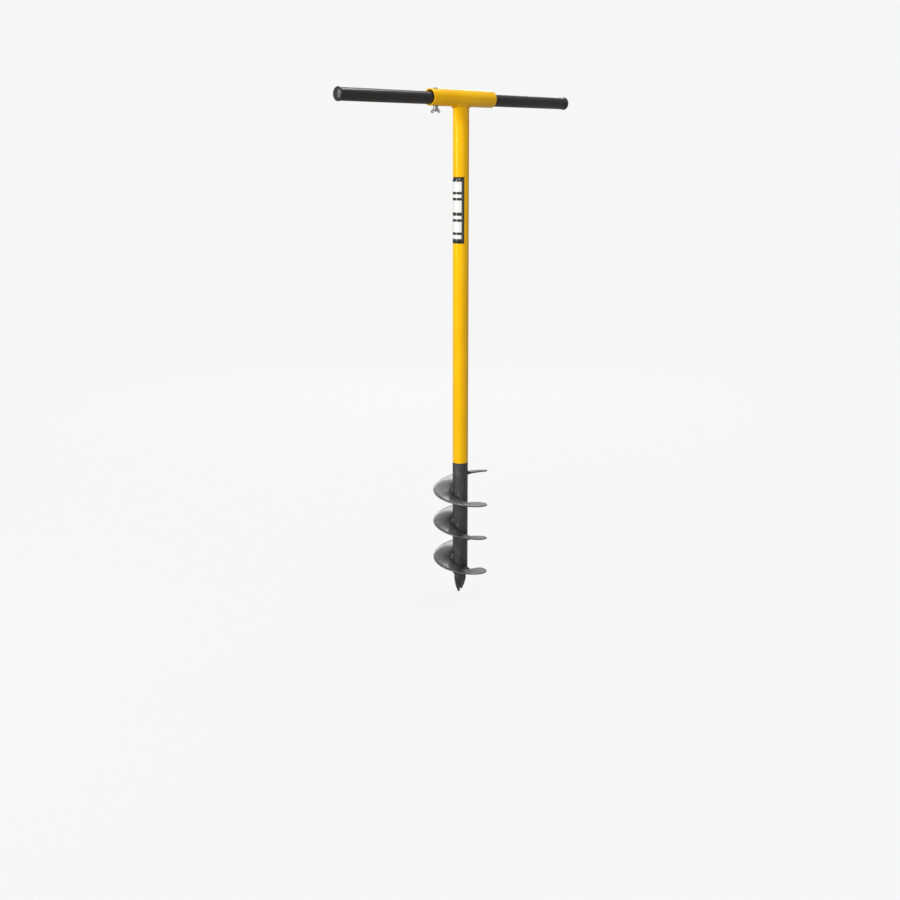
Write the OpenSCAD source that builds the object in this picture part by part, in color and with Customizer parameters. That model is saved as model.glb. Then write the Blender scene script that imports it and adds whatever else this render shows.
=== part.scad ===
// Hand soil auger with a T handle.
// +Z is up and the handle bar lies along X. The origin is on the shaft's axis, level with the
// tips of the pilot point. Lengths are millimetres and angles are degrees about +Z.

/* [Shaft] */
// Outside diameter of the shaft, the stem and the cross sleeve (1 inch tube)
tube_d = 33.7; // [30:0.1:36]
// Wall of those three tubes
tube_wall = 2.6; // [2:0.1:3.2]
// Height of the sleeve's crest above the pilot's tips
crest_z = 1087; // [900:1:1300]
// Height where the painted shaft is butted on the flighted stem
joint_z = 300; // [290:1:340]
// Width of the shaft's flattened top, across the sleeve
oval_width = 42; // [36:0.5:43]
// Length over which the shaft goes from round to oval
oval_length = 46; // [30:1:60]

/* [Handle] */
// Length over the two end caps
handle_span = 645; // [500:1:800]
// Outside diameter of the handle bar
bar_d = 25; // [22:0.1:26]
// Wall of the handle bar
bar_wall = 2; // [1.5:0.1:3]
// Length of the cross sleeve
sleeve_length = 175; // [120:1:220]
// Greatest diameter of an end cap
cap_d = 27; // [26.5:0.1:30]
// How far an end cap's dome stands past the bar
cap_dome = 6.5; // [4:0.5:9]

/* [Bolt and wing nut] */
// Distance from the shaft's axis to the bolt
bolt_offset = 71; // [60:1:80]
// Thread diameter of the bolt
bolt_d = 5; // [4:1:6]
// Length of the bolt below its head
bolt_length = 45; // [44:1:50]
// Span of the wing nut over its wings
wing_span = 26; // [22:1:30]

/* [Flights] */
// Outside diameter of the flights
flight_d = 120; // [80:1:200]
// Sheet thickness of the flights
flight_t = 3; // [2:0.5:5]
// Drop of the flights in one turn
flight_pitch = 78; // [70:1:80]
// Height of the flights' upper end
flight_top_z = 278.5; // [270:0.5:282]
// Angle that one flight section wraps round the stem
section_angle = 372.3; // [360:0.1:375]
// How far a stretched section strays from an even pitch
pitch_error = 3; // [0:0.5:4]

/* [Pilot point] */
// Width of the pilot's flat bar
pilot_width = 26; // [20:0.5:28]
// Thickness of the pilot's flat bar
pilot_t = 6; // [4:0.5:8]
// Depth of the notch between the two prongs
notch_depth = 13; // [8:0.5:18]
// Twist of the pilot from its root to its tips
pilot_twist = 68; // [0:1:90]

/* [Label] */
// Height of the label's lower edge
label_z = 777; // [400:1:850]
// Length of the label along the shaft
label_length = 136; // [60:1:150]
// Width of the label round the shaft
label_width = 42; // [20:1:60]

/* [Hidden] */
$fn = 64;

// Cuts run this far past the faces that they cut.
over = 1;
// A weld bead clears the curved face it lies on by this much, so that its flats don't cut in.
skin_gap = 0.15;

tube_r = tube_d / 2;
bore_r = tube_r - tube_wall;
sleeve_z = crest_z - tube_r;

// The bar lies on the floor of the sleeve's bore, a hair above it.
bar_r = bar_d / 2;
bar_rest_gap = 0.05;
bar_z = sleeve_z - (bore_r - bar_r - bar_rest_gap);
bar_length = handle_span - 2 * cap_dome;

// The shaft's top is an oval. Its half width grows with height and its half depth shrinks, so
// that the girth stays the same.
oval_base_z = sleeve_z - tube_r - oval_length;
oval_steps = 10;
round_steps = 48;

spigot_length = 110;
spigot_wall = 3;
slip_gap = 0.1;

stem_base_z = 42;
inner_gap = 0.75;
flight_start = -40;
flight_step = 3.5;
flight_r = flight_d / 2;
flight_inner_r = tube_r + inner_gap;
section_end = 3 * section_angle;
curl_height = 5;
curl_wrap = 60;
slack_turn = 945;
slack_wrap = 70;
slack_gap = 1.4;

plug_t = 5;
tang_width = 18;
tang_length = 22;
root_angle = -40;
twist_length = 40;
ogive_length = 60;
prong_tip = 1.5;
prong_tip_t = 4;

bolt_x = -bolt_offset;
bolt_r = bolt_d / 2;
bolt_hole_r = bolt_r + 0.25;
head_r = 4.6;
head_height = 2.4;
bolt_point = 0.6;
stack_gap = 0.1;
washer_t = 1;
washer_r = 5;
washer_top_z = sleeve_z - tube_r - stack_gap;
nut_top_z = washer_top_z - washer_t - stack_gap;
nut_height = 7.5;
nut_top_r = 5.5;
nut_foot_r = 4.4;
nut_bore_r = bolt_r + 0.05;
wing_t = 2.2;
wing_lobe_r = 3.6;
wing_reach = 13;

label_t = 0.15;
label_angle = label_width / tube_r * 180 / PI;
label_facing = 180;

// ---- shapes that several parts use ----

// A skin over a list of rings with the same number of points. The first and last rings are
// capped, or joined to each other when looped is true.
module skin(rings, looped = false) {
    count = len(rings);
    size = len(rings[0]);
    spans = looped ? count : count - 1;
    sides = [for (i = [0:spans - 1], j = [0:size - 1], side = [0, 1])
        let (a = i * size + j, b = i * size + (j + 1) % size)
        let (c = ((i + 1) % count) * size + j, d = ((i + 1) % count) * size + (j + 1) % size)
        side == 0 ? [a, c, b] : [b, c, d]];
    last = (count - 1) * size;
    caps = looped ? [] : [[for (j = [0:size - 1]) j], [for (j = [size - 1:-1:0]) last + j]];
    polyhedron([for (ring = rings, point = ring) point], concat(sides, caps), convexity = 10);
}

// A point at a radius, an angle and a height.
function around(radius, angle, height) = [radius * cos(angle), radius * sin(angle), height];

module tube(outer_r, inner_r, length) {
    difference() {
        cylinder(r = outer_r, h = length);
        translate([0, 0, -over]) cylinder(r = inner_r, h = length + 2 * over);
    }
}

module along_x(z) translate([0, 0, z]) rotate([0, 90, 0]) children();

module bolt_hole() {
    translate([bolt_x, 0, sleeve_z - 2 * tube_r]) cylinder(r = bolt_hole_r, h = 4 * tube_r);
}

// ---- shaft ----

// 0 where the shaft is round, 1 where it is fully oval, and smooth between.
function squash(z) = let (s = max(0, min(1, (z - oval_base_z) / oval_length))) s * s * (3 - 2 * s);
function oval_a(z) = tube_r + (oval_width / 2 - tube_r) * squash(z);
function oval_b(z) = sqrt(2 * pow(tube_r, 2) - pow(oval_a(z), 2));

// A point on the shaft's outside at height z, or inset millimetres inside it.
function on_shaft(angle, z, inset = 0) =
    [(oval_a(z) - inset) * cos(angle), (oval_b(z) - inset) * sin(angle), z];

// Height of the sleeve's underside at a distance y from its axis.
function sleeve_under(y) = sleeve_z - sqrt(pow(tube_r, 2) - pow(y, 2));

// The points of one face of the shaft's wall, from its round foot up to the sleeve's underside.
// The foot is sunk a little into the straight tube, so that the two join.
function wall_line(angle, inset) =
    let (top = sleeve_under(abs((oval_b(sleeve_z) - inset) * sin(angle))))
    concat([on_shaft(angle, oval_base_z - over, inset)], [for (i = [1:oval_steps])
        on_shaft(angle, oval_base_z + (top - oval_base_z) * i / oval_steps, inset)]);

// The flattened top, notched to sit on the sleeve.
module oval_top() {
    seam = 0.03;
    skin([for (k = [0:round_steps - 1]) let (angle = 360 * k / round_steps)
        let (outer = wall_line(angle, seam))
        concat(wall_line(angle, tube_wall - seam), [for (i = [oval_steps:-1:0]) outer[i]])],
        looped = true);
}

module shaft_tube() {
    color("gold") {
        translate([0, 0, joint_z]) tube(tube_r, bore_r, oval_base_z - joint_z);
        oval_top();
    }
}

module shaft_label() {
    color("black") translate([0, 0, label_z]) rotate(label_facing - label_angle / 2)
        rotate_extrude(angle = label_angle) translate([tube_r, 0]) square([label_t, label_length]);
}

// ---- cross sleeve ----

module cross_sleeve() {
    color("goldenrod") difference() {
        along_x(sleeve_z) translate([0, 0, -sleeve_length / 2])
            tube(tube_r, bore_r, sleeve_length);
        bolt_hole();
    }
}

// The fillet weld where the oval shaft meets the sleeve, one ring of it at each angle.
module sleeve_weld() {
    leg = 3.6;
    bulge = 1.2;
    wobble = 0.35;
    color("darkgoldenrod") skin([for (k = [0:round_steps - 1])
        let (angle = 360 * k / round_steps, size = leg + wobble * sin(5 * angle))
        let (meet = on_shaft(angle, sleeve_under(oval_b(sleeve_z) * sin(angle))))
        let (out = [cos(angle) / oval_a(sleeve_z), sin(angle) / oval_b(sleeve_z)])
        let (side = out / norm(out), far = [meet.x, meet.y] + size * side)
        let (low = on_shaft(angle, meet.z - size))
        let (high = [far.x, far.y, sleeve_under(far.y) - skin_gap])
        let (half = [meet.x, meet.y] + size / 2 * side)
        [high, (low + high) / 2 + [side.x, side.y, -1] * bulge / 2, low,
            [meet.x, meet.y, meet.z - skin_gap],
            [half.x, half.y, sleeve_under(half.y) - skin_gap]]],
        looped = true);
}

// ---- stem and its flights ----

module auger_stem() {
    color("dimgray") translate([0, 0, stem_base_z]) tube(tube_r, bore_r, joint_z - stem_base_z);
}

module joint_spigot() {
    spigot_r = bore_r - slip_gap;
    color("silver") translate([0, 0, joint_z - spigot_length / 2])
        tube(spigot_r, spigot_r - spigot_wall, spigot_length);
}

// Height of the middle of the sheet, turn degrees down from the flights' upper end. The flights
// are left handed: going down, they turn the way that angles grow.
function flight_z(turn) =
    flight_top_z - flight_pitch * turn / 360 - pitch_error * sin(turn / 2);

// Half the sheet's thickness measured upright, which grows towards the steeper inner edge.
function half_sheet(radius) =
    flight_t / 2 * sqrt(1 + pow(flight_pitch / (2 * PI * radius), 2));

// How far the sheet's inner edge stands above its rim: below it at the upper end, above it at
// the lower end, and level between.
function end_curl(turn) = curl_height
    * (max(0, 1 - (section_end - turn) / curl_wrap) - max(0, 1 - turn / curl_wrap));

// Radius of the inner edge. It stands off the stem over one stretch of the lowest turn.
function inner_edge(turn) = let (s = abs(turn - slack_turn) / slack_wrap)
    flight_inner_r + (s < 1 ? slack_gap * (1 + cos(180 * s)) / 2 : 0);

function flight_point(turn, radius, lift) =
    let (share = (flight_r - radius) / (flight_r - tube_r))
    around(radius, flight_start + turn, flight_z(turn) + end_curl(turn) * share + lift);

module flight_section(number) {
    first = number * section_angle;
    steps = ceil(section_angle / flight_step);
    skin([for (i = [0:steps])
        let (turn = first + section_angle * i / steps)
        let (near = inner_edge(turn), radii = [near, (near + flight_r) / 2, flight_r])
        concat(
            [for (k = [0:2]) flight_point(turn, radii[k], half_sheet(radii[k]))],
            [for (k = [2:-1:0]) flight_point(turn, radii[k], -half_sheet(radii[k]))])]);
}

module flight_top() color("dimgray") flight_section(0);

module flight_middle() color("gray") flight_section(1);

module flight_bottom() color("dimgray") flight_section(2);

// A fillet bead between the stem and a flight's upper face, thin at both ends.
module stem_bead(middle, wrap, leg) {
    steps = 10;
    skin([for (i = [0:steps])
        let (turn = middle + wrap * (i / steps - 0.5))
        let (size = leg * (0.35 + 0.65 * sin(180 * i / steps)))
        let (foot = half_sheet(flight_inner_r)) [
        flight_point(turn, tube_r, foot + size),
        flight_point(turn, inner_edge(turn) + size * 0.5, foot + size * 0.65),
        flight_point(turn, inner_edge(turn) + size, foot),
        flight_point(turn, tube_r, foot)]]);
}

module flight_tack_welds() {
    first_tack = 75;
    tack_spacing = 120;
    color("darkslategray")
        for (k = [0:8]) stem_bead(first_tack + k * tack_spacing, 26, 4.2);
}

module flight_end_welds() {
    color("darkslategray") {
        stem_bead(14, 24, 5.5);
        stem_bead(section_end - 22, 40, 6.5);
    }
}

// A low bead right across the upper face where two sections are butted.
module seam_bead(turn) {
    steps = 12;
    half_width = 2.6;
    height = 0.8;
    reach = flight_r - flight_inner_r;
    skin([for (i = [0:steps])
        let (radius = flight_inner_r + reach * i / steps)
        let (spread = half_width / radius * 180 / PI, face = half_sheet(radius) + skin_gap) [
        flight_point(turn - spread, radius, face),
        flight_point(turn, radius, face),
        flight_point(turn + spread, radius, face),
        flight_point(turn + spread * 0.5, radius, face + height),
        flight_point(turn - spread * 0.5, radius, face + height)]]);
}

module flight_seam_welds() {
    color("slategray") for (k = [1, 2]) seam_bead(k * section_angle);
}

// ---- pilot point ----

module stem_end_plug() {
    color("dimgray") translate([0, 0, stem_base_z]) difference() {
        cylinder(r = bore_r - slip_gap, h = plug_t);
        rotate(root_angle)
            cube([tang_width + 0.4, pilot_t + 0.4, 4 * plug_t], center = true);
    }
}

// Four corners of the twisted bar at height z, between two distances from its middle line.
function pilot_ring(z, near, far, thick) =
    let (turn = root_angle + pilot_twist * max(0, 1 - z / twist_length)) [
    for (corner = [[near, -1], [far, -1], [far, 1], [near, 1]])
        let (side = corner[1] * thick / 2) [
        corner[0] * cos(turn) - side * sin(turn),
        corner[0] * sin(turn) + side * cos(turn), z]];

// Half the pilot's width at height z: full at the root and drawn in towards the tips.
function pilot_half(z) =
    pilot_width / 2 * sqrt(1 - pow(max(0, twist_length - z) / ogive_length, 2));

module pilot_prong(side) {
    steps = 6;
    tip = pilot_half(0) - prong_tip;
    rings = [for (i = [0:steps]) let (z = notch_depth * i / steps) side > 0
        ? pilot_ring(z, tip * (1 - i / steps), pilot_half(z), prong_tip_t
            + (pilot_t - prong_tip_t) * i / steps)
        : pilot_ring(z, -pilot_half(z), -tip * (1 - i / steps), prong_tip_t
            + (pilot_t - prong_tip_t) * i / steps)];
    skin(rings);
}

module pilot_point() {
    steps = 12;
    rise = stem_base_z - notch_depth;
    color("dimgray") {
        skin([for (i = [0:steps]) let (z = notch_depth + rise * i / steps)
            pilot_ring(z, -pilot_half(z), pilot_half(z), pilot_t)]);
        pilot_prong(1);
        pilot_prong(-1);
        translate([0, 0, stem_base_z]) rotate(root_angle)
            translate([-tang_width / 2, -pilot_t / 2, -over])
                cube([tang_width, pilot_t, tang_length + over]);
    }
}

// Two straight fillets under the stem's end, one on each face of the pilot. They stop where
// the pilot's twist starts.
module pilot_weld() {
    leg = 4.5;
    drop = stem_base_z - twist_length;
    color("darkslategray") for (side = [0, 1]) translate([0, 0, stem_base_z])
        rotate(root_angle + 180 * side) translate([-pilot_width / 2 + 1, pilot_t / 2 + skin_gap, 0])
            rotate([90, 0, 90]) linear_extrude(pilot_width - 2)
                polygon([[0, 0], [leg, 0], [leg * 0.6, -drop * 0.6], [0, -drop]]);
}

// ---- handle bar and caps ----

module handle_bar() {
    color("darkslategray") difference() {
        along_x(bar_z) translate([0, 0, -bar_length / 2])
            tube(bar_r, bar_r - bar_wall, bar_length);
        bolt_hole();
    }
}

// A push-in cap, revolved about Z with its flange on z = 0: a dome above, a ribbed stem below.
module end_cap() {
    bore = bar_r - bar_wall;
    core_r = bore - 1;
    stem_length = 20;
    stem_wall = 1.8;
    rib_count = 4;
    rib_height = 1.2;
    lip = 2;
    dome_steps = 16;
    dome = [for (i = [0:dome_steps]) let (a = 90 * i / dome_steps)
        [cap_d / 2 * cos(a), lip + (cap_dome - lip) * sin(a)]];
    rotate_extrude() {
        polygon(concat([[0, 0], [cap_d / 2 - 0.5, 0], [cap_d / 2, 0.5]], dome));
        translate([core_r - stem_wall, -stem_length]) square([stem_wall, stem_length + over]);
        for (k = [1:rib_count]) translate([core_r - over, -stem_length * k / (rib_count + 1)])
            square([bore - slip_gap - core_r + over, rib_height]);
    }
}

module end_cap_left() {
    color("black") translate([-bar_length / 2, 0, bar_z]) rotate([0, -90, 0]) end_cap();
}

module end_cap_right() {
    color("black") translate([bar_length / 2, 0, bar_z]) rotate([0, 90, 0]) end_cap();
}

// ---- bolt, washer and wing nut ----

module handle_bolt() {
    dome_steps = 12;
    dome = [for (i = [0:dome_steps]) let (a = 90 * i / dome_steps)
        [head_r * cos(a), 0.5 + (head_height - 0.5) * sin(a)]];
    color("silver") translate([bolt_x, 0, crest_z]) rotate_extrude() polygon(concat(
        [[0, -bolt_length], [bolt_r - bolt_point, -bolt_length],
            [bolt_r, bolt_point - bolt_length], [bolt_r, 0], [head_r, 0]], dome));
}

module bolt_washer() {
    color("silver") translate([bolt_x, 0, washer_top_z - washer_t])
        tube(washer_r, bolt_hole_r, washer_t);
}

// One wing's outline: a round lobe and the web that joins it to the hub. x runs outwards from
// the nut's axis and y runs down from its seat.
module wing_outline() {
    lobe = [wing_span / 2 - wing_lobe_r, wing_reach - wing_lobe_r];
    translate(lobe) circle(r = wing_lobe_r);
    polygon([[0, 2.5], [nut_foot_r, 2.5], [lobe.x + 1.5, lobe.y - wing_lobe_r + 0.45],
        [lobe.x - wing_lobe_r + 0.6, lobe.y + 2], [nut_foot_r - 1, nut_height - 0.3],
        [0, nut_height - 0.3]]);
}

module wing_nut() {
    color("silver") translate([bolt_x, 0, nut_top_z]) rotate([180, 0, 0]) difference() {
        union() {
            cylinder(r1 = nut_top_r, r2 = nut_foot_r, h = nut_height);
            for (side = [0, 1]) rotate(90 + 180 * side) translate([0, wing_t / 2, 0])
                rotate([90, 0, 0]) linear_extrude(wing_t) wing_outline();
        }
        translate([0, 0, -over]) cylinder(r = nut_bore_r, h = nut_height + 2 * over);
    }
}

shaft_tube();
shaft_label();
cross_sleeve();
sleeve_weld();
auger_stem();
joint_spigot();
flight_top();
flight_middle();
flight_bottom();
flight_seam_welds();
flight_tack_welds();
flight_end_welds();
stem_end_plug();
pilot_point();
pilot_weld();
handle_bar();
end_cap_left();
end_cap_right();
handle_bolt();
bolt_washer();
wing_nut();
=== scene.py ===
import math

import bmesh
import bpy
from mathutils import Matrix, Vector, noise


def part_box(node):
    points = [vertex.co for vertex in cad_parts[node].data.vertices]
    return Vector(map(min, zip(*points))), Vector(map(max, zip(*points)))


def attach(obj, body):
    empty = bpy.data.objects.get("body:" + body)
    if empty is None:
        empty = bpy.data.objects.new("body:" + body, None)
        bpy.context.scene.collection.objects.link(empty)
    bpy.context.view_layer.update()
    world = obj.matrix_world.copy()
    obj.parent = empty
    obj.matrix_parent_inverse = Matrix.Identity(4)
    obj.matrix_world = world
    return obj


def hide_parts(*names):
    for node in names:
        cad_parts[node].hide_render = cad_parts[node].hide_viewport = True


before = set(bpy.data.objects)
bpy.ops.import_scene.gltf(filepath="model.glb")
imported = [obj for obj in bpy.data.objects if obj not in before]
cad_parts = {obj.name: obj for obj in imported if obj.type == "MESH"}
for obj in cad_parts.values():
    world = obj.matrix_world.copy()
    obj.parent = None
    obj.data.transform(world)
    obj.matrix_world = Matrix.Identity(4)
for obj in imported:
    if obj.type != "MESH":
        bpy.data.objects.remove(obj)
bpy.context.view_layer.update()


# ---- Studio ----
# A plain pale floor runs back to a sky of the same grey. A low soft sun on the left lights the
# tubes, one high on the right lights the flights, and three panels give the long highlights.

SKY_SEEN = 0.925
SKY_LIGHT = 0.3
FLOOR_RADIUS = 300.0
FLOOR_WHITE = 0.025
FLOOR_SEEN = 0.892
FLOOR_LIGHT = 0.34
LOOK_AT = Vector((0, 0, 0.55))


class Amount:
    """A value in a finish's node tree. Sums with it add Math nodes."""

    def __init__(self, finish, socket):
        self.finish, self.socket = finish, socket

    def sum_with(self, operation, first, second):
        node = self.finish.add("Math", {"operation": operation}, {0: first, 1: second})
        return Amount(self.finish, node.outputs["Value"])

    def __add__(self, other):
        return self.sum_with("ADD", self, other)

    def __radd__(self, other):
        return self.sum_with("ADD", other, self)

    def __sub__(self, other):
        return self.sum_with("SUBTRACT", self, other)

    def __rsub__(self, other):
        return self.sum_with("SUBTRACT", other, self)

    def __mul__(self, other):
        return self.sum_with("MULTIPLY", self, other)

    def __rmul__(self, other):
        return self.sum_with("MULTIPLY", other, self)

    def rise(self, low, high):
        """0 below low, 1 above high and smooth between. It falls where low is above high."""
        node = self.finish.add("MapRange", {"interpolation_type": "SMOOTHSTEP"}, {
            "Value": self, "From Min": low, "From Max": high})
        return Amount(self.finish, node.outputs["Result"])


class Finish:
    """A surface finish: a Principled shader and the nodes that vary it."""

    def __init__(self, name, **evenly):
        self.material = bpy.data.materials.new(name)
        self.start(self.material, "Principled BSDF", evenly)
        self.spot = self.add("TexCoord").outputs["Object"]

    def start(self, owner, shader_name, evenly):
        owner.use_nodes = True
        self.tree = owner.node_tree
        self.shader = self.tree.nodes[shader_name]
        for socket, value in evenly.items():
            self.shader.inputs[socket.replace("_", " ")].default_value = value

    def add(self, kind, settings=None, sockets=None):
        node = self.tree.nodes.new("ShaderNode" + kind)
        for name, value in (settings or {}).items():
            setattr(node, name, value)
        for name, value in (sockets or {}).items():
            self.feed(node.inputs[name], value)
        return node

    def feed(self, socket, value):
        if isinstance(value, Amount):
            value = value.socket
        if isinstance(value, bpy.types.NodeSocket):
            self.tree.links.new(value, socket)
        else:
            socket.default_value = value

    def varies(self, **sockets):
        for name, value in sockets.items():
            self.feed(self.shader.inputs[name.replace("_", " ")], value)

    def seen(self, by_eye, by_light):
        """One value where the eye meets it straight and another where other light does."""
        straight = Amount(self, self.add("LightPath").outputs["Is Camera Ray"])
        return by_light + (by_eye - by_light) * straight

    def grain(self, size, detail=2.0, stretch=(1, 1, 1), distort=0.0):
        """Noise between 0 and 1 whose lumps are size metres across."""
        placed = self.add("Mapping", {}, {
            "Vector": self.spot, "Scale": tuple(s / size for s in stretch)})
        return Amount(self, self.add("TexNoise", {}, {
            "Vector": placed.outputs["Vector"], "Scale": 1.0, "Detail": detail,
            "Distortion": distort}).outputs["Fac"])

    def mix(self, first, second, share):
        node = self.add("Mix", {"data_type": "RGBA"}, {0: share, 6: first, 7: second})
        return node.outputs[2]

    def relief(self, height, depth, under=None):
        """Bumps of that depth in metres, on top of the bumps under."""
        sockets = {"Height": height, "Distance": depth, "Strength": 1.0}
        if under:
            sockets["Normal"] = under
        return self.add("Bump", {}, sockets).outputs["Normal"]


class Sky(Finish):
    """The studio's sky: a Background shader in place of a surface."""

    def __init__(self, name):
        self.world = bpy.data.worlds.new(name)
        self.start(self.world, "Background", {"Color": (1, 1, 1, 1)})


def facing(azimuth):
    """The level direction from the object to a viewer at that azimuth, in degrees."""
    turn = math.radians(azimuth)
    return Vector((math.sin(turn), -math.cos(turn), 0))


def light_at(name, kind, azimuth, distance, height, power, target=LOOK_AT):
    lamp = bpy.data.lights.new(name, kind)
    lamp.energy = power
    stand = bpy.data.objects.new(name, lamp)
    stand.location = facing(azimuth) * distance + Vector((0, 0, height))
    stand.rotation_euler = (target - stand.location).to_track_quat("-Z", "Y").to_euler()
    bpy.context.collection.objects.link(stand)
    return lamp


def light_panel(name, width, length, **placed):
    panel = light_at(name, "AREA", **placed)
    panel.shape = "RECTANGLE"
    panel.size, panel.size_y = width, length


bpy.context.scene.view_settings.view_transform = "Standard"
sky = Sky("studio_sky")
sky.varies(Strength=sky.seen(SKY_SEEN, SKY_LIGHT))
bpy.context.scene.world = sky.world

side_sun = light_at("side_sun", "SUN", azimuth=-66, distance=2.0, height=1.28, power=1.75)
side_sun.angle = math.radians(20)
top_sun = light_at("top_sun", "SUN", azimuth=95, distance=0.8, height=2.5, power=2.4)
top_sun.angle = math.radians(10)
light_panel("left_panel", width=0.34, length=1.6, azimuth=-108, distance=1.9, height=1.1,
            power=19)
light_panel("low_panel", width=0.4, length=0.9, azimuth=-20, distance=1.5, height=0.65,
            power=2.0, target=Vector((0, 0, 0.15)))
light_panel("rear_panel", width=2.6, length=1.0, azimuth=140, distance=2.6, height=1.6,
            power=40, target=Vector((0, 0, 0.2)))

floor_paint = Finish("studio_floor", Base_Color=(FLOOR_WHITE, FLOOR_WHITE, FLOOR_WHITE, 1),
                     Roughness=1.0, Specular_IOR_Level=0.0, Emission_Strength=1.0)
floor_paint.varies(Emission_Color=floor_paint.seen(FLOOR_SEEN, FLOOR_LIGHT))
floor_bm = bmesh.new()
bmesh.ops.create_circle(floor_bm, cap_ends=True, segments=64, radius=FLOOR_RADIUS)
floor_mesh = bpy.data.meshes.new("studio_floor")
floor_bm.to_mesh(floor_mesh)
floor_bm.free()
floor_mesh.materials.append(floor_paint.material)
studio_floor = bpy.data.objects.new("studio_floor", floor_mesh)
bpy.context.collection.objects.link(studio_floor)

# The camera stands a little under the handle's height and looks slightly down.
VIEW_AZIMUTH = -43.96
VIEW_DISTANCE = 2.4
VIEW_HEIGHT = 0.962
VIEW_TILT = 13.46
VIEW_PAN = 0.54
VIEW_LENS = 45.18
VIEW_SHIFT = -0.03

view = bpy.data.cameras.new("front_left_view")
view.lens = VIEW_LENS
view.sensor_width = 36
view.shift_y = VIEW_SHIFT
view.dof.use_dof = False
view_camera = bpy.data.objects.new("front_left_view", view)
view_camera.location = facing(VIEW_AZIMUTH) * VIEW_DISTANCE + Vector((0, 0, VIEW_HEIGHT))
view_camera.rotation_euler = (
    math.radians(90 - VIEW_TILT), 0, math.radians(VIEW_AZIMUTH + VIEW_PAN))
bpy.context.collection.objects.link(view_camera)
bpy.context.scene.camera = view_camera


# ---- Shaft tube ----
# A one inch welded steel tube. Its top end is pressed to an oval and notched so that it sits on
# the cross sleeve's underside. It is sprayed with gloss yellow enamel.

MM = 0.001
SHAFT_LOW, SHAFT_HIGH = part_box("shaft_tube")
SLEEVE_LOW, SLEEVE_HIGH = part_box("cross_sleeve")
SLEEVE_AXIS = (SLEEVE_LOW.z + SLEEVE_HIGH.z) / 2
TUBE_RADIUS = (SLEEVE_HIGH.z - SLEEVE_LOW.z) / 2
TUBE_WALL = 2.6 * MM
OVAL_LENGTH = 46 * MM
OVAL_HALF_WIDTH = SHAFT_HIGH.x
OVAL_FOOT = SLEEVE_LOW.z - OVAL_LENGTH
RIM_ROUNDING = 0.4 * MM
CREASE = math.radians(35)


def drawn_out(stations, looped=False):
    """Starts with the outline at the first station and extrudes it through the others."""
    bm = bmesh.new()
    ring = [bm.verts.new(point) for point in stations[0]]
    edges = [bm.edges.new((a, b)) for a, b in zip(ring, ring[1:] + ring[:1])]
    first = list(edges)
    for points in stations[1:]:
        grown = set(bmesh.ops.extrude_edge_only(bm, edges=edges)["geom"])
        ring = [next(e.other_vert(v) for e in v.link_edges if e.other_vert(v) in grown)
                for v in ring]
        for vert, point in zip(ring, points):
            vert.co = point
        edges = [bm.edges.get((a, b)) for a, b in zip(ring, ring[1:] + ring[:1])]
    if looped:
        bmesh.ops.bridge_loops(bm, edges=first + edges)
    else:
        bmesh.ops.contextual_create(bm, geom=first)
        bmesh.ops.contextual_create(bm, geom=edges)
    bmesh.ops.recalc_face_normals(bm, faces=bm.faces)
    return bm


def make_piece(name, bm, finish, node_name, body="auger"):
    """Turns a mesh into a finished piece that rides on a body and stands for a CAD node."""
    mesh = bpy.data.meshes.new(name)
    bm.to_mesh(mesh)
    bm.free()
    mesh.materials.append(finish.material)
    mesh.polygons.foreach_set("use_smooth", [True] * len(mesh.polygons))
    mesh.set_sharp_from_angle(angle=CREASE)
    piece = bpy.data.objects.new(name, mesh)
    bpy.context.collection.objects.link(piece)
    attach(piece, body)
    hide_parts(node_name)
    return piece


def squash(z):
    share = max(0.0, min(1.0, (z - OVAL_FOOT) / OVAL_LENGTH))
    return share * share * (3 - 2 * share)


def oval_half_width(z):
    return TUBE_RADIUS + (OVAL_HALF_WIDTH - TUBE_RADIUS) * squash(z)


def oval_half_depth(z):
    return math.sqrt(2 * TUBE_RADIUS ** 2 - oval_half_width(z) ** 2)


def on_shaft(angle, z, inset=0.0):
    return Vector(((oval_half_width(z) - inset) * math.cos(angle),
                   (oval_half_depth(z) - inset) * math.sin(angle), z))


def under_sleeve(y):
    return SLEEVE_AXIS - math.sqrt(TUBE_RADIUS ** 2 - y * y)


def shaft_outline(angle):
    """The wall's section at one angle: up its outside to the sleeve and down its bore."""
    inner_top = under_sleeve((oval_half_depth(SLEEVE_AXIS) - TUBE_WALL) * math.sin(angle))
    outer_top = under_sleeve(oval_half_depth(SLEEVE_AXIS) * math.sin(angle))
    foot = SHAFT_LOW.z
    up = [on_shaft(angle, foot, RIM_ROUNDING),
          on_shaft(angle, foot + 0.3 * RIM_ROUNDING, 0.3 * RIM_ROUNDING),
          on_shaft(angle, foot + RIM_ROUNDING)]
    shares = [k / 18 for k in range(19)]
    up += [on_shaft(angle, OVAL_FOOT + (outer_top - OVAL_FOOT) * s) for s in shares]
    down = [on_shaft(angle, OVAL_FOOT + (inner_top - OVAL_FOOT) * s, TUBE_WALL)
            for s in reversed(shares)]
    return up + down + [on_shaft(angle, foot, TUBE_WALL)]


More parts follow.
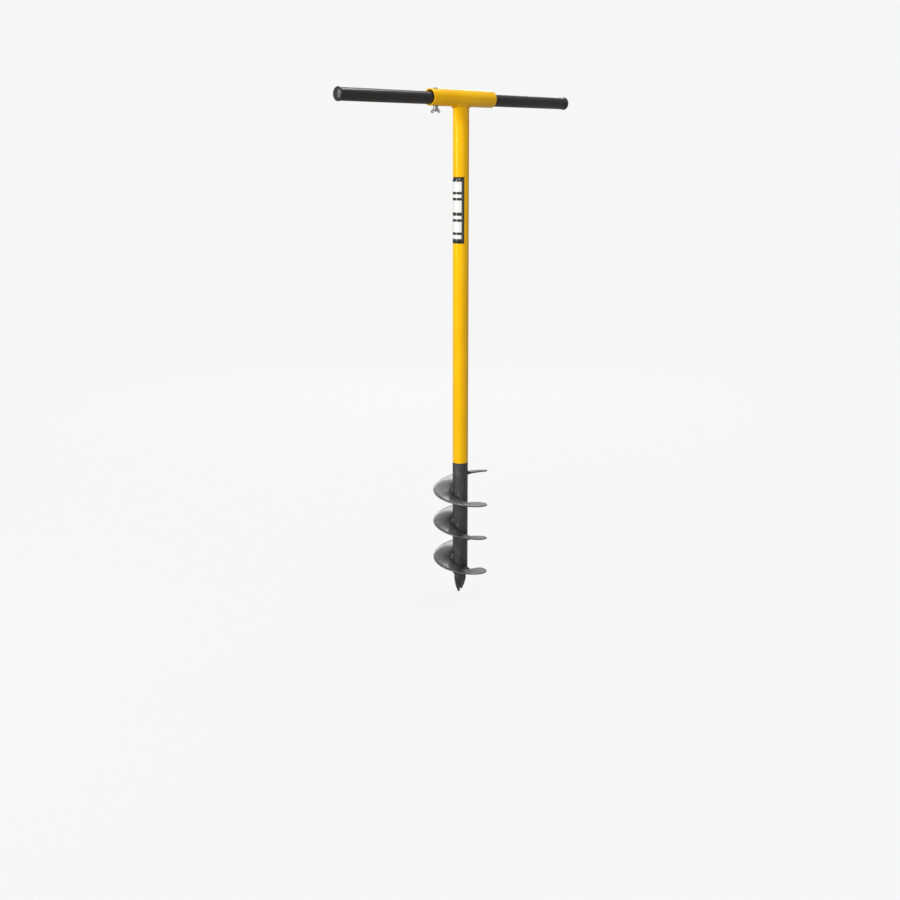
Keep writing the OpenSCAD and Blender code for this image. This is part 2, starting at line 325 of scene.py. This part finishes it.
yellow = Finish("yellow_enamel", Coat_Roughness=0.1, Specular_Tint=(1, 0.72, 0.1, 1),
                Specular_IOR_Level=0.4)
pool = yellow.grain(0.09, 3)
fleck = yellow.grain(0.0012, 2)
speck = yellow.grain(0.006, 4).rise(0.69, 0.74)
yellow_tone = yellow.mix((0.9, 0.46, 0.001, 1), (0.97, 0.53, 0.002, 1), pool.rise(0.3, 0.7))
yellow_tone = yellow.mix(yellow_tone, (0.42, 0.19, 0.01, 1), speck * 0.35)
scuff = yellow.grain(0.02, 5, (1, 1, 0.16), 0.4).rise(0.66, 0.72)
yellow.varies(
    Base_Color=yellow_tone,
    Roughness=0.3 + 0.1 * pool + 0.2 * scuff,
    Coat_Weight=0.3 - 0.2 * scuff,
    Normal=yellow.relief(fleck, 0.00005, yellow.relief(yellow.grain(0.005, 1), 0.00008)))

make_piece("shaft", drawn_out(
    [shaft_outline(math.tau * k / 96) for k in range(96)], looped=True),
    yellow, "shaft_tube")


# ---- Cross sleeve ----
# A short length of the same tube, sawn square and deburred, with the bar passing through it. The
# clamping bolt fills its holes near one end, so they are left out here.

SLEEVE_BORE = TUBE_RADIUS - TUBE_WALL
RIM_BEVEL = 0.6 * MM


def spun(outline, centre, axis, steps=96):
    """Turns a closed outline once round an axis."""
    bm = bmesh.new()
    ring = [bm.verts.new(point) for point in outline]
    edges = [bm.edges.new((a, b)) for a, b in zip(ring, ring[1:] + ring[:1])]
    bmesh.ops.spin(bm, geom=ring + edges, cent=centre, axis=axis, dvec=(0, 0, 0),
                   angle=math.tau, steps=steps, use_merge=True)
    bmesh.ops.remove_doubles(bm, verts=bm.verts, dist=1e-7)
    bmesh.ops.delete(bm, geom=[e for e in bm.edges if not e.link_faces], context="EDGES")
    bmesh.ops.recalc_face_normals(bm, faces=bm.faces)
    return bm


def rounded(corners, size, parts=3):
    """The outline with each corner turned into a small arc of about that size."""
    points = []
    for before, corner, after in zip(corners[-1:] + corners[:-1], corners,
                                     corners[1:] + corners[:1]):
        start = corner + (before - corner).normalized() * size
        end = corner + (after - corner).normalized() * size
        for k in range(parts + 1):
            share = k / parts
            points.append(start.lerp(corner, share).lerp(corner.lerp(end, share), share))
    return points


sleeve_corners = [Vector((x, 0, SLEEVE_AXIS + r)) for x, r in (
    (SLEEVE_LOW.x, SLEEVE_BORE), (SLEEVE_LOW.x, TUBE_RADIUS),
    (SLEEVE_HIGH.x, TUBE_RADIUS), (SLEEVE_HIGH.x, SLEEVE_BORE))]
make_piece("sleeve", spun(
    rounded(sleeve_corners, RIM_BEVEL), (0, 0, SLEEVE_AXIS), (1, 0, 0)),
    yellow, "cross_sleeve")


# ---- Weld under the sleeve ----
# One pass of weld metal round the oval top, laid by hand, so its toes wander and the ripples
# of each pause show through the paint that covers it.

WELD_LEG = 3.5 * MM
WELD_BULGE = 0.9 * MM
WELD_RIPPLES = 64
WELD_STATIONS = 6 * WELD_RIPPLES


def weld_outline(angle):
    wander = noise.noise(Vector((math.cos(angle), math.sin(angle), 0)) * 3) * 0.35
    leg = WELD_LEG * (0.86 + 0.1 * math.sin(5 * angle) + 0.2 * wander)
    meet = on_shaft(angle, under_sleeve(oval_half_depth(SLEEVE_AXIS) * math.sin(angle)))
    out = Vector((math.cos(angle) / oval_half_width(meet.z),
                  math.sin(angle) / oval_half_depth(meet.z), 0)).normalized()
    far = meet + out * leg
    high = Vector((far.x, far.y, under_sleeve(far.y)))
    low = on_shaft(angle, meet.z - leg)
    points = [meet]
    for k in range(9):
        share = k / 8
        ripple = 0.16 * math.sin(WELD_RIPPLES * angle + 2.4 * math.sin(math.pi * share))
        crown = WELD_BULGE * math.sin(math.pi * share) * (1 + wander + ripple)
        points.append(high.lerp(low, share) + (out - Vector((0, 0, 1))) * crown * 0.7)
    return points


weld_yellow = Finish("yellow_enamel_on_weld", Coat_Roughness=0.12,
                     Specular_Tint=(1, 0.72, 0.1, 1), Specular_IOR_Level=0.4)
soot = weld_yellow.grain(0.004, 5).rise(0.42, 0.68)
weld_yellow.varies(
    Base_Color=weld_yellow.mix((0.93, 0.49, 0.002, 1), (0.5, 0.21, 0.004, 1), soot * 0.6),
    Roughness=0.34 + 0.3 * soot,
    Coat_Weight=0.35 - 0.3 * soot,
    Normal=weld_yellow.relief(weld_yellow.grain(0.0022, 4), 0.00035))

make_piece("sleeve_bead", drawn_out(
    [weld_outline(math.tau * k / WELD_STATIONS) for k in range(WELD_STATIONS)], looped=True),
    weld_yellow, "sleeve_weld")


# ---- Label ----
# A printed vinyl film wrapped two fifths of the way round the shaft. It carries only plain
# white bars of different widths.

LABEL_LOW, LABEL_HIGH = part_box("shaft_label")
LABEL_LIFT = 0.14 * MM
LABEL_WIDTH = 42 * MM
LABEL_FACING = math.pi
FILM_SHEET = 0.1 * MM
PRINTED_BARS = ((0.07, 0.13), (0.17, 0.33), (0.37, 0.42), (0.47, 0.65), (0.69, 0.74), (0.78, 0.93))
PRINTED_WIDTH = (0.14, 0.86)

film = bmesh.new()
film.loops.layers.uv.new("UVMap")
bmesh.ops.create_grid(film, x_segments=40, y_segments=24, size=0.5, calc_uvs=True)
for vert in film.verts:
    across, along = vert.co.x, vert.co.y
    angle = LABEL_FACING + across * LABEL_WIDTH / TUBE_RADIUS
    radius = TUBE_RADIUS + LABEL_LIFT
    vert.co = (radius * math.cos(angle), radius * math.sin(angle),
               (LABEL_LOW.z + LABEL_HIGH.z) / 2 + along * (LABEL_HIGH.z - LABEL_LOW.z))

vinyl = Finish("printed_vinyl", Coat_Weight=0.3, Coat_Roughness=0.1)
vinyl_map = vinyl.add("SeparateXYZ", {}, {"Vector": vinyl.add("UVMap").outputs["UV"]})
round_way = Amount(vinyl, vinyl_map.outputs["X"])
up_way = Amount(vinyl, vinyl_map.outputs["Y"])


def band(value, low, high, soft=0.006):
    """1 between low and high, 0 outside them."""
    return value.rise(low - soft, low + soft) * value.rise(high + soft, high - soft)


bars = sum(band(up_way, *bar) for bar in PRINTED_BARS) * band(round_way, *PRINTED_WIDTH)
film_wear = vinyl.grain(0.004, 4).rise(0.6, 0.75)
vinyl.varies(
    Base_Color=vinyl.mix((0.012, 0.012, 0.013, 1), (0.78, 0.78, 0.76, 1), bars),
    Roughness=0.28 + 0.14 * film_wear,
    Normal=vinyl.relief(vinyl.grain(0.0008, 1), 0.00002))

label = make_piece("label", film, vinyl, "shaft_label")
film_edge = label.modifiers.new("film thickness", "SOLIDIFY")
film_edge.thickness = FILM_SHEET
film_edge.offset = -1


# ---- Stem ----
# The same tube again, painted semi-gloss black over mill scale, butted on the yellow shaft over
# an inner spigot. It carries the flights and is closed at its foot by a slotted plug.

STEM_LOW, STEM_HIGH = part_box("auger_stem")

black = Finish("black_enamel", Coat_Roughness=0.14)
soft_patch = black.grain(0.03, 4)
dust = black.grain(0.012, 5, (1, 1, 0.5), 0.6).rise(0.45, 0.75)
rub = black.grain(0.03, 6, (1, 1, 0.08), 0.3).rise(0.64, 0.7)
black.varies(
    Base_Color=black.mix(
        black.mix((0.015, 0.015, 0.016, 1), (0.032, 0.032, 0.033, 1), soft_patch),
        (0.14, 0.135, 0.13, 1), dust * 0.3 + rub * 0.3),
    Roughness=0.36 + 0.16 * soft_patch + 0.12 * dust,
    Coat_Weight=0.55 - 0.4 * dust,
    Normal=black.relief(black.grain(0.0014, 3), 0.0001,
                        black.relief(black.grain(0.012, 2), 0.0002)))

stem_corners = [Vector((r, 0, z)) for r, z in (
    (TUBE_RADIUS, STEM_LOW.z), (TUBE_RADIUS, STEM_HIGH.z),
    (SLEEVE_BORE, STEM_HIGH.z), (SLEEVE_BORE, STEM_LOW.z))]
make_piece("stem", spun(rounded(stem_corners, RIM_BEVEL), (0, 0, 0), (0, 0, 1)),
           black, "auger_stem")


def coat_node(node_name, finish):
    """Gives a node of the frame this finish in place of its plain colour."""
    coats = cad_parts[node_name].data.materials
    coats.clear()
    coats.append(finish.material)


coat_node("stem_end_plug", black)
coat_node("pilot_weld", black)

steel = Finish("drawn_steel", Metallic=1.0)
draw_lines = steel.grain(0.0006, 2, (1, 1, 0.03))
steel.varies(
    Base_Color=steel.mix((0.34, 0.34, 0.35, 1), (0.5, 0.5, 0.51, 1), draw_lines),
    Roughness=0.3 + 0.2 * steel.grain(0.02, 3),
    Normal=steel.relief(draw_lines, 0.00003))
coat_node("joint_spigot", steel)


# ---- Flights ----
# Three rings of 3 mm sheet, each cut open and stretched to one turn and a little more, then
# butted end to end. Shearing leaves their rims slightly rounded, and stretching leaves a wave.

FLIGHT_START = math.radians(-40)
FLIGHT_TOP = 278.5 * MM
FLIGHT_PITCH = 78 * MM
FLIGHT_SHEET = 3 * MM
FLIGHT_RADIUS = 60 * MM
SECTION_TURN = 372.3
SECTION_COUNT = 3
PITCH_ERROR = 3 * MM
CURL_HEIGHT = 5 * MM
CURL_WRAP = 60
SLACK_TURN = 945
SLACK_WRAP = 70
SLACK_GAP = 1.4 * MM
INNER_GAP = 0.75 * MM
RIM_DEPTH = 0.9 * MM
SHEET_FIT = 0.98
FLIGHT_END = SECTION_COUNT * SECTION_TURN


def half_sheet(radius):
    return FLIGHT_SHEET / 2 * math.hypot(1, FLIGHT_PITCH / (math.tau * radius))


def end_curl(turn):
    return CURL_HEIGHT * (max(0, 1 - (FLIGHT_END - turn) / CURL_WRAP)
                          - max(0, 1 - turn / CURL_WRAP))


def inner_edge(turn):
    share = abs(turn - SLACK_TURN) / SLACK_WRAP
    slack = SLACK_GAP * (1 + math.cos(math.pi * share)) / 2 if share < 1 else 0
    return TUBE_RADIUS + INNER_GAP + slack


def flight_point(turn, radius, lift):
    """A point on the flights, turn degrees down from their upper end, lift above the sheet."""
    angle = FLIGHT_START + math.radians(turn)
    level = FLIGHT_TOP - FLIGHT_PITCH * turn / 360 - PITCH_ERROR * math.sin(
        math.radians(turn / 2))
    share = (FLIGHT_RADIUS - radius) / (FLIGHT_RADIUS - TUBE_RADIUS)
    return Vector((radius * math.cos(angle), radius * math.sin(angle),
                   level + end_curl(turn) * share + lift))


def flight_outline(turn):
    near, far = inner_edge(turn), FLIGHT_RADIUS - 0.02 * MM
    inside = far - RIM_DEPTH
    across = [near + 0.3 * MM] + [near + (inside - near) * k / 6 for k in range(1, 7)]
    top = [flight_point(turn, r, half_sheet(r) * SHEET_FIT) for r in across]
    bottom = [flight_point(turn, r, -half_sheet(r) * SHEET_FIT) for r in reversed(across)]
    bend = [flight_point(turn, inside + RIM_DEPTH * math.sin(math.radians(a)),
                         half_sheet(far) * SHEET_FIT * math.cos(math.radians(a)))
            for a in (35, 65, 115, 145)]
    back = [flight_point(turn, near, -half_sheet(near) * 0.7),
            flight_point(turn, near, half_sheet(near) * 0.7)]
    return top + bend + bottom + back


flight_black = Finish("black_enamel_on_sheet", Coat_Roughness=0.16)
sheet_patch = flight_black.grain(0.022, 5, distort=0.5)
sheet_dust = flight_black.grain(0.006, 5).rise(0.5, 0.8)
reach = flight_black.add("VectorMath", {"operation": "LENGTH"}, {
    "Vector": flight_black.add("VectorMath", {"operation": "MULTIPLY"}, {
        0: flight_black.spot, 1: (1, 1, 0)}).outputs["Vector"]})
reach = Amount(flight_black, reach.outputs["Value"])
rim_wear = reach.rise(0.0575, 0.0598) * flight_black.grain(0.005, 4).rise(0.42, 0.6)
# Painted shade: patchy darkening of the sheet within about a centimetre of the stem, where the
# stem and the turn above shade it. The same mask also makes the sheet rougher and less glossy
# there.
painted_stem_shade = reach.rise(0.031, 0.02) * flight_black.grain(0.007, 4).rise(0.3, 0.55)
sheet_tone = flight_black.mix(
    flight_black.mix((0.04, 0.04, 0.041, 1), (0.068, 0.068, 0.068, 1), sheet_patch),
    (0.17, 0.165, 0.16, 1), sheet_dust * 0.22 + rim_wear * 0.35)
flight_black.varies(
    Base_Color=flight_black.mix(sheet_tone, (0.007, 0.007, 0.007, 1), painted_stem_shade * 0.85),
    Roughness=0.38 + 0.14 * sheet_patch + 0.15 * sheet_dust + 0.2 * painted_stem_shade,
    Coat_Weight=(0.55 - 0.4 * sheet_dust) * (1 - 0.85 * painted_stem_shade),
    Normal=flight_black.relief(
        flight_black.grain(0.0011, 3), 0.00006,
        flight_black.relief(flight_black.grain(0.016, 2), 0.0003)))

for number, node_name in enumerate(("flight_top", "flight_middle", "flight_bottom")):
    first_turn = number * SECTION_TURN
    sections = [flight_outline(first_turn + SECTION_TURN * k / 150) for k in range(151)]
    make_piece(node_name + "_sheet", drawn_out(sections), flight_black,
               node_name)


# ---- Flight welds ----
# Short tacks hold the sheet's inner edge to the stem, three to a turn, with heavier ones at
# both ends and a flat bead across each butted seam. They are painted over with the rest.

TACK_FIRST, TACK_STEP, TACK_COUNT = 75, 120, 9
TACK_WRAP = 26
TACK_LEG = 4.2 * MM
UPPER_END_BEAD = (14, 24, 5.5 * MM)
LOWER_END_BEAD = (FLIGHT_END - 22, 40, 6.5 * MM)
SEAM_HALF_WIDTH = 2.5 * MM
SEAM_CROWN = 0.72 * MM

weld_black = Finish("black_enamel_on_weld", Coat_Weight=0.6, Coat_Roughness=0.12)
slag = weld_black.grain(0.0016, 5)
weld_black.varies(
    Base_Color=weld_black.mix((0.016, 0.016, 0.017, 1), (0.06, 0.057, 0.054, 1),
                              slag.rise(0.5, 0.75)),
    Roughness=0.3 + 0.25 * slag,
    Normal=weld_black.relief(slag, 0.00022))


def bead_outline(turn, leg, ripple):
    """The section of a bead in the corner between the stem and the sheet's upper face."""
    near = inner_edge(turn)
    foot = half_sheet(near)
    points = [(TUBE_RADIUS - 0.2 * MM, foot - 0.2 * MM)]
    for k in range(7):
        lean = math.pi / 2 * k / 6
        crown = 0.78 + 0.16 * ripple * math.sin(2 * lean)
        points.append((near + leg * math.cos(lean) ** 1.3 * crown
                       - (near - TUBE_RADIUS) * k / 6,
                       foot + leg * math.sin(lean) ** 1.3 * crown))
    return [flight_point(turn, r, lift) for r, lift in points]


def weld_bead(middle, wrap, leg):
    stations = []
    for k in range(65):
        share = k / 64
        swell = math.sqrt(max(0.02, math.sin(math.pi * share)))
        lumps = noise.noise(Vector((middle, share * 6, leg * 900)))
        ripple = math.sin(share * wrap * 0.9) + lumps
        stations.append(bead_outline(middle + wrap * (share - 0.5),
                                     leg * swell * (0.95 + 0.12 * lumps), ripple))
    return drawn_out(stations)


def joined(meshes):
    """Several meshes as one, each still a separate solid."""
    whole = bmesh.new()
    for bm in meshes:
        part = bpy.data.meshes.new("part")
        bm.to_mesh(part)
        bm.free()
        whole.from_mesh(part)
        bpy.data.meshes.remove(part)
    return whole


make_piece("tack_beads", joined(
    weld_bead(TACK_FIRST + k * TACK_STEP, TACK_WRAP, TACK_LEG) for k in range(TACK_COUNT)),
    weld_black, "flight_tack_welds")
make_piece("end_beads", joined([
    weld_bead(*UPPER_END_BEAD), weld_bead(*LOWER_END_BEAD)]),
    weld_black, "flight_end_welds")


def seam_bead(turn):
    stations = []
    for k in range(41):
        radius = inner_edge(turn) + 0.2 * MM + (
            FLIGHT_RADIUS - 0.6 * MM - inner_edge(turn)) * k / 40
        spread = math.degrees(SEAM_HALF_WIDTH / radius)
        crown = SEAM_CROWN * (1 + 0.15 * math.sin(k * 1.9))
        stations.append([flight_point(turn + spread * math.cos(a), radius,
                                      half_sheet(radius) - 0.1 * MM + crown * math.sin(a))
                         for a in (math.pi * n / 8 for n in range(9))])
    return drawn_out(stations)


make_piece("seam_beads", joined(seam_bead(k * SECTION_TURN) for k in (1, 2)),
           weld_black, "flight_seam_welds")


# ---- Pilot point ----
# A 6 mm flat bar, sawn to a pointed arch with a notch that leaves two prongs, and twisted hot
# the same way as the flights, so that it pulls the auger down. The tang, hidden in the plug, is
# left out here.

PILOT_HALF = 13 * MM
PILOT_SHEET = 6 * MM
PILOT_TIP_SHEET = 4 * MM
PILOT_ROOT = STEM_LOW.z
PILOT_TURN = math.radians(-40)
PILOT_TWIST = math.radians(68)
TWIST_LENGTH = 40 * MM
ARCH_LENGTH = 60 * MM
NOTCH_DEPTH = 13 * MM
PRONG_TIP = 1.5 * MM


def pilot_half(z):
    return PILOT_HALF * math.sqrt(1 - (max(0, TWIST_LENGTH - z) / ARCH_LENGTH) ** 2)


arch_levels = [PILOT_ROOT * k / 24 for k in range(25)]
right_side = [Vector((pilot_half(z), 0, z)) for z in arch_levels]
left_side = [Vector((-pilot_half(z), 0, z)) for z in reversed(arch_levels)]
tip = pilot_half(0) - PRONG_TIP
notch = [Vector((-tip, 0, 0)), Vector((0, 0, NOTCH_DEPTH)), Vector((tip, 0, 0))]
blade = bmesh.new()
blade.faces.new([blade.verts.new(p) for p in right_side + left_side + notch])
for level in arch_levels[1:-1]:
    bmesh.ops.bisect_plane(blade, geom=blade.verts[:] + blade.edges[:] + blade.faces[:],
                           plane_co=(0, 0, level), plane_no=(0, 0, 1))
for side in (-8, -4, 0, 4, 8):
    bmesh.ops.bisect_plane(blade, geom=blade.verts[:] + blade.edges[:] + blade.faces[:],
                           plane_co=(side * MM, 0, 0), plane_no=(1, 0, 0))
grown = bmesh.ops.extrude_face_region(blade, geom=blade.faces[:])["geom"]
bmesh.ops.translate(blade, verts=[g for g in grown if isinstance(g, bmesh.types.BMVert)],
                    vec=(0, PILOT_SHEET, 0))
bmesh.ops.translate(blade, verts=blade.verts, vec=(0, -PILOT_SHEET / 2, 0))
bmesh.ops.recalc_face_normals(blade, faces=blade.faces)
outline_edges = [e for e in blade.edges
                 if len(e.link_faces) == 2 and e.calc_face_angle() > math.radians(60)
                 and abs(e.verts[0].co.y - e.verts[1].co.y) < 1e-6]
bmesh.ops.bevel(blade, geom=outline_edges, offset=0.4 * MM, offset_type="OFFSET",
                affect="EDGES", segments=2, profile=0.5, material=-1, clamp_overlap=True)
for vert in blade.verts:
    low = max(0.0, 1 - vert.co.z / NOTCH_DEPTH)
    vert.co.y *= 1 - low * (1 - PILOT_TIP_SHEET / PILOT_SHEET)
    turn = PILOT_TURN + PILOT_TWIST * max(0, 1 - vert.co.z / TWIST_LENGTH)
    x, y = vert.co.x, vert.co.y
    vert.co.x = x * math.cos(turn) - y * math.sin(turn)
    vert.co.y = x * math.sin(turn) + y * math.cos(turn)

make_piece("pilot_blade", blade, black, "pilot_point")


# ---- Handle bar ----
# A straight 25 mm tube with a fine powder coat, patchy from handling and lightly scored along
# its length. It lies on the floor of the sleeve's bore.

BAR_LOW, BAR_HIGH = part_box("handle_bar")
BAR_RADIUS = (BAR_HIGH.y - BAR_LOW.y) / 2
BAR_AXIS = (BAR_LOW.z + BAR_HIGH.z) / 2
BAR_WALL = 2 * MM
BAR_BORE = BAR_RADIUS - BAR_WALL

powder = Finish("satin_black_powder")
powder_grain = powder.grain(0.0009, 2)
handled = powder.grain(0.05, 4, (0.35, 1, 1), 0.5)
drag = powder.grain(0.012, 4, (0.06, 1, 1)).rise(0.66, 0.72)
powder.varies(
    Base_Color=powder.mix(
        powder.mix((0.011, 0.011, 0.012, 1), (0.022, 0.022, 0.023, 1), handled),
        (0.12, 0.12, 0.12, 1), drag * 0.35),
    Roughness=0.28 + 0.12 * handled + 0.06 * powder_grain,
    Normal=powder.relief(powder_grain, 0.00006))

bar_corners = [Vector((x, 0, BAR_AXIS + r)) for x, r in (
    (BAR_LOW.x, BAR_BORE), (BAR_LOW.x, BAR_RADIUS),
    (BAR_HIGH.x, BAR_RADIUS), (BAR_HIGH.x, BAR_BORE))]
make_piece("bar", spun(rounded(bar_corners, 0.3 * MM), (0, 0, BAR_AXIS), (1, 0, 0)),
           powder, "handle_bar")


# ---- End caps ----
# Moulded polyethylene plugs pushed into the bar's ends: a low dome on a lip a little wider than
# the bar, with a hollow ribbed stem that grips the bore.

CAP_RADIUS = 13.5 * MM
CAP_DOME = 6.5 * MM
CAP_LIP = 2 * MM
CAP_STEM = 20 * MM
RIB_COUNT = 4

moulded = Finish("moulded_black_plastic", Specular_IOR_Level=0.55)
mould_skin = moulded.grain(0.0014, 2)
smudge = moulded.grain(0.008, 4)
moulded.varies(
    Base_Color=moulded.mix((0.01, 0.01, 0.011, 1), (0.02, 0.02, 0.021, 1), smudge),
    Roughness=0.26 + 0.12 * smudge,
    Normal=moulded.relief(mould_skin, 0.00002))


def cap_outline():
    """Half the cap's section, as distances out from the bar's end and from its axis."""
    points = [(CAP_LIP + (CAP_DOME - CAP_LIP) * math.sin(a), CAP_RADIUS * math.cos(a))
              for a in (math.pi / 2 * k / 20 for k in range(20, -1, -1))]
    points += [(0.4 * MM, CAP_RADIUS), (0, CAP_RADIUS - 0.4 * MM)]
    core = BAR_BORE - 1 * MM
    for k in range(1, RIB_COUNT + 1):
        rib = -CAP_STEM * k / (RIB_COUNT + 1)
        points += [(rib + 1.2 * MM, core), (rib + 0.9 * MM, BAR_BORE - 0.1 * MM),
                   (rib, BAR_BORE - 0.1 * MM), (rib - 0.3 * MM, core)]
    points += [(-CAP_STEM, core), (-CAP_STEM, core - 1.8 * MM), (0, core - 1.8 * MM), (0, 0)]
    return points


for name, node_name, end, way in (("left_cap", "end_cap_left", BAR_LOW.x, -1),
                                  ("right_cap", "end_cap_right", BAR_HIGH.x, 1)):
    outline = [Vector((end + way * out, 0, BAR_AXIS + r)) for out, r in cap_outline()]
    make_piece(name, spun(outline, (0, 0, BAR_AXIS), (1, 0, 0), 64), moulded,
               node_name)


# ---- Bolt ----
# An M5 steel bolt, bright zinc plated, dropped through the sleeve and the bar from above. Its
# low round head has a driver slot, and the thread is rolled for its lower half.

BOLT_LOW, BOLT_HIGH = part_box("handle_bolt")
BOLT_X = (BOLT_LOW.x + BOLT_HIGH.x) / 2
BOLT_RADIUS = 2.5 * MM
THREAD_PITCH = 0.8 * MM
THREAD_DEPTH = 0.45 * MM
THREAD_LENGTH = 24 * MM
HEAD_BASE = SLEEVE_HIGH.z
HEAD_RADIUS = (BOLT_HIGH.x - BOLT_LOW.x) / 2
HEAD_HEIGHT = BOLT_HIGH.z - HEAD_BASE

zinc = Finish("bright_zinc", Metallic=1.0)
spangle = zinc.grain(0.0012, 3)
haze = zinc.grain(0.005, 4)
zinc.varies(
    Base_Color=zinc.mix((0.24, 0.25, 0.26, 1), (0.46, 0.47, 0.48, 1), haze),
    Roughness=0.2 + 0.22 * spangle,
    Normal=zinc.relief(spangle, 0.00006))

shank_profile = [(0, BOLT_LOW.z), (BOLT_RADIUS - 0.8 * MM, BOLT_LOW.z)]
shank_profile += [(BOLT_RADIUS - THREAD_DEPTH, BOLT_LOW.z + 0.5 * MM),
                  (BOLT_RADIUS - THREAD_DEPTH, BOLT_LOW.z + THREAD_LENGTH),
                  (BOLT_RADIUS, BOLT_LOW.z + THREAD_LENGTH + 0.4 * MM),
                  (BOLT_RADIUS, HEAD_BASE), (HEAD_RADIUS - 0.2 * MM, HEAD_BASE),
                  (HEAD_RADIUS, HEAD_BASE + 0.25 * MM)]
shank_profile += [(HEAD_RADIUS * math.cos(a), HEAD_BASE + 0.5 * MM
                   + (HEAD_HEIGHT - 0.5 * MM) * math.sin(a))
                  for a in (math.pi / 2 * k / 12 for k in range(13))]
shank = spun([Vector((BOLT_X + r, 0, z)) for r, z in shank_profile],
             (BOLT_X, 0, 0), (0, 0, 1), 48)

SLOT_HALF = 0.6 * MM
SLOT_FLOOR = BOLT_HIGH.z - 1.1 * MM
for side in (-1, 1):
    bmesh.ops.bisect_plane(shank, geom=shank.verts[:] + shank.edges[:] + shank.faces[:],
                           plane_co=(0, side * SLOT_HALF, 0), plane_no=(0, 1, 0))
for vert in shank.verts:
    if abs(vert.co.y) < SLOT_HALF * 0.99 and vert.co.z > SLOT_FLOOR:
        vert.co.z = SLOT_FLOOR

thread_turns = int(THREAD_LENGTH / THREAD_PITCH) - 1
thread_steps = 20
ridge = [(BOLT_RADIUS - THREAD_DEPTH - 0.05 * MM, -0.34 * MM), (BOLT_RADIUS, -0.06 * MM),
         (BOLT_RADIUS, 0.06 * MM), (BOLT_RADIUS - THREAD_DEPTH - 0.05 * MM, 0.34 * MM)]
thread_stations = []
for k in range(thread_turns * thread_steps + 1):
    angle = math.tau * k / thread_steps
    rise = BOLT_LOW.z + 0.9 * MM + THREAD_PITCH * k / thread_steps
    thread_stations.append([Vector((BOLT_X + r * math.cos(angle), r * math.sin(angle),
                                    rise + z)) for r, z in ridge])
make_piece("clamping_bolt", joined([shank, drawn_out(thread_stations)]), zinc,
           "handle_bolt")

coat_node("bolt_washer", zinc)


# ---- Wing nut ----
# A cast steel wing nut, zinc plated: a tapered hub with a plain bore, and two rounded wings
# that sweep out and down, away from the seat.

NUT_LOW, NUT_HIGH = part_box("wing_nut")
NUT_BORE = 2.6 * MM
HUB_HEIGHT = 7.4 * MM
HUB_TOP = 5.4 * MM
HUB_FOOT = 4.4 * MM
WING_SHEET = 2.2 * MM
LOBE_RADIUS = 3.5 * MM
LOBE_OUT = NUT_HIGH.y - LOBE_RADIUS
LOBE_DOWN = NUT_HIGH.z - NUT_LOW.z - LOBE_RADIUS - 0.1 * MM

hub_corners = [Vector((BOLT_X + r, 0, NUT_HIGH.z - down)) for r, down in (
    (NUT_BORE, 0.05 * MM), (HUB_TOP, 0.05 * MM), (HUB_FOOT, HUB_HEIGHT),
    (NUT_BORE, HUB_HEIGHT))]
hub = spun(rounded(hub_corners, 0.5 * MM), (BOLT_X, 0, 0), (0, 0, 1), 48)


def wing(side):
    """One wing: a lobe's arc and the web down to the hub, thickened and rounded."""
    arc = [math.radians(a) for a in range(-70, 131, 10)]
    lobe = [(LOBE_OUT + LOBE_RADIUS * math.cos(a), LOBE_DOWN + LOBE_RADIUS * math.sin(a))
            for a in arc]
    web = [(HUB_FOOT - 1.2 * MM, HUB_HEIGHT - 0.5 * MM), (HUB_FOOT - 1.2 * MM, 2.6 * MM),
           (HUB_FOOT + 0.9 * MM, 2.9 * MM)]
    bm = bmesh.new()
    face = bm.faces.new([bm.verts.new((BOLT_X, side * out, NUT_HIGH.z - down))
                         for out, down in lobe + web])
    grown = bmesh.ops.extrude_face_region(bm, geom=[face])["geom"]
    bmesh.ops.translate(bm, verts=[g for g in grown if isinstance(g, bmesh.types.BMVert)],
                        vec=(WING_SHEET, 0, 0))
    bmesh.ops.translate(bm, verts=bm.verts, vec=(-WING_SHEET / 2, 0, 0))
    bmesh.ops.recalc_face_normals(bm, faces=bm.faces)
    rims = [e for e in bm.edges if abs(e.verts[0].co.x - e.verts[1].co.x) < 1e-6]
    bmesh.ops.bevel(bm, geom=rims, offset=0.7 * MM, offset_type="OFFSET", affect="EDGES",
                    segments=3, profile=0.5, material=-1)
    return bm


make_piece("nut_casting", joined([hub, wing(1), wing(-1)]), zinc,
           "wing_nut", body="nut")
